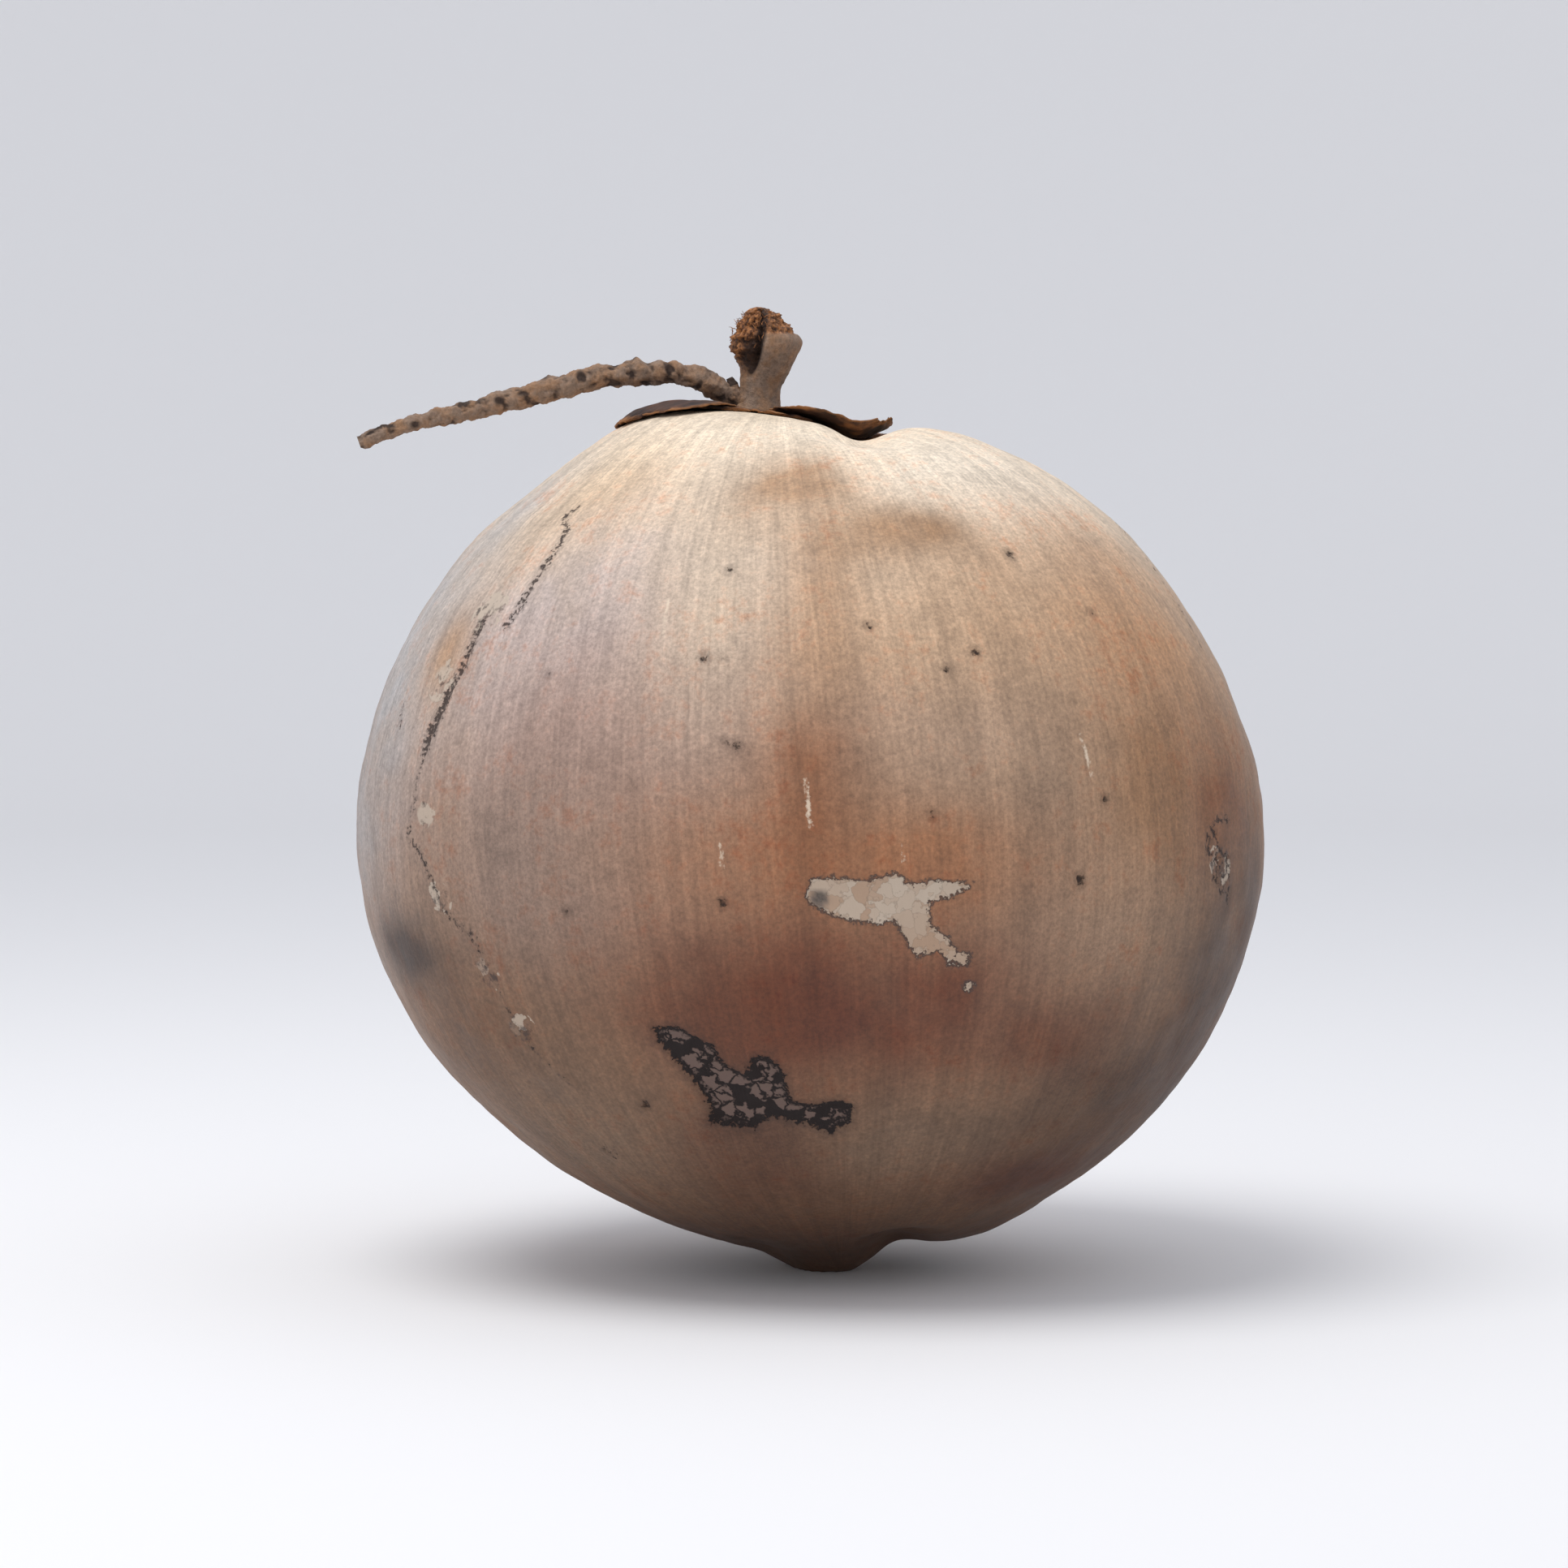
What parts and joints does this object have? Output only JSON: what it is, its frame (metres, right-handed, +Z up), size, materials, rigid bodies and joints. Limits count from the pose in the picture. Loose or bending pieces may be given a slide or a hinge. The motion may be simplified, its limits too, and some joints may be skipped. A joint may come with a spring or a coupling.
{
  "type": "coconut",
  "caption": "Whole coconut in its dry brown husk, standing on its blossom end, with leathery calyx scales and a broken flower stalk on top",
  "frame": {"origin": "middle of the whole object's box, on the ground that the blossom end stands on", "axes": "+Z up through the stalk end, front towards -Y, the withered spikelet points to -X"},
  "size_m": [0.1989, 0.192, 0.2133],
  "materials": {
    "husk": "dry weathered coconut husk skin, waxy tan to red-brown with scars",
    "calyx": "dry leathery dark brown calyx scales",
    "stalk": "grey-brown withered stalk with torn fibres"
  },
  "bodies": {
    "root": {"fruit": "husk", "petal_front": "calyx", "petal_left": "calyx", "petal_right": "calyx", "sepal_back": "calyx", "sepal_left": "calyx", "sepal_right": "calyx", "stalk": "stalk"}
  },
  "joints": []
}
